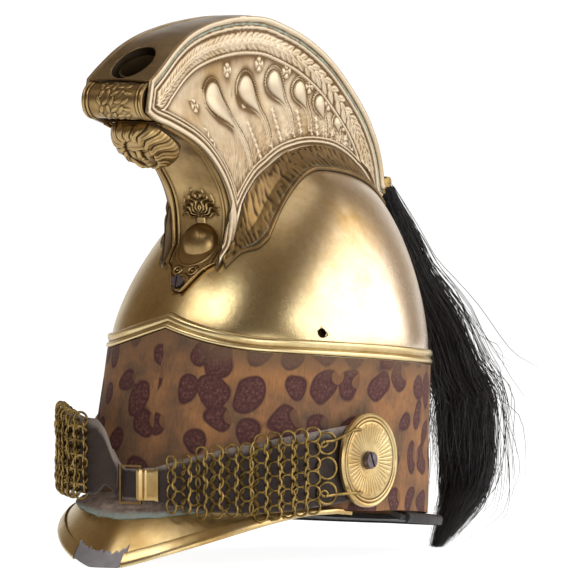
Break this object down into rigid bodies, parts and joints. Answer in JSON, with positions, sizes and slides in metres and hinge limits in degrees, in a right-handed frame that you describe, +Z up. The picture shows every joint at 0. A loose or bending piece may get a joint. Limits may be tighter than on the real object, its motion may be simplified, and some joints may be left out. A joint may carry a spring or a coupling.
{
  "type": "dragoon helmet",
  "caption": "Brass dragoon helmet with a tall embossed crest, a painted hide turban, a rolled-edge visor, a ring-mail chin strap worn up over the visor and a hanging horsehair mane.",
  "frame": {"origin": "middle of the head opening, on the plane the visor's tip stands on", "axes": "+X to the wearer's left, -Y to the front, +Z up; the rosettes' axis is X"},
  "size_m": [0.1908, 0.3261, 0.3167],
  "materials": {
    "brass": "satin sheet brass with brown tarnish",
    "pale_brass": "embossed, pale, with green in its grooves",
    "dark_brass": "dark brown patina, scratched",
    "grey_leather": "worn, dry",
    "black_leather": "blackened, cracked",
    "tan_leather": "vegetable tanned, plain",
    "painted_hide": "short haired hide painted with leopard spots",
    "horsehair": "black, long strands",
    "steel": "dull, slightly rusted"
  },
  "bodies": {
    "helmet": {"skull": "brass", "skull_band": "brass", "body_shell": "tan_leather", "turban": "painted_hide", "turban_strip": "grey_leather", "visor": "brass", "visor_edge": "brass", "neck_guard": "black_leather", "neck_guard_edge": "black_leather", "sweatband": "tan_leather", "liner_tongues": "tan_leather", "liner_lace": "grey_leather", "crest_side_left": "pale_brass", "crest_side_right": "pale_brass", "crest_top": "dark_brass", "crest_front_plate": "brass", "crest_roll": "brass", "crest_roll_caps": "brass", "crest_mask": "brass", "crest_flange_left": "dark_brass", "crest_flange_right": "dark_brass", "tuft_socket": "brass", "crest_bridge": "steel", "crest_front_screw": "steel", "crest_side_screw": "steel", "pivot_screws": "steel", "pivot_nuts": "steel", "mane_socket": "brass"},
    "chinstrap": {"rosette_left": "brass", "rosette_right": "brass", "strap_leather_left": "grey_leather", "strap_leather_right": "grey_leather", "chain_left": "brass", "chain_right": "brass", "hook_wires_left": "brass", "hook_wires_right": "brass", "buckle_plate": "brass", "buckle_frame": "brass", "strap_tongue": "black_leather"},
    "mane": {"mane_ferrule": "brass", "mane": "horsehair"}
  },
  "joints": [
    {"name": "chinstrap_swing", "type": "hinge", "parent": "helmet", "child": "chinstrap", "pos_m": [0, -0.029, 0.059], "axis": [-1, 0, 0], "range_deg": [0, 30]},
    {"name": "mane_swing", "type": "hinge", "parent": "helmet", "child": "mane", "pos_m": [0, 0.10975, 0.21454], "axis": [1, 0, 0], "range_deg": [0, 40]}
  ]
}
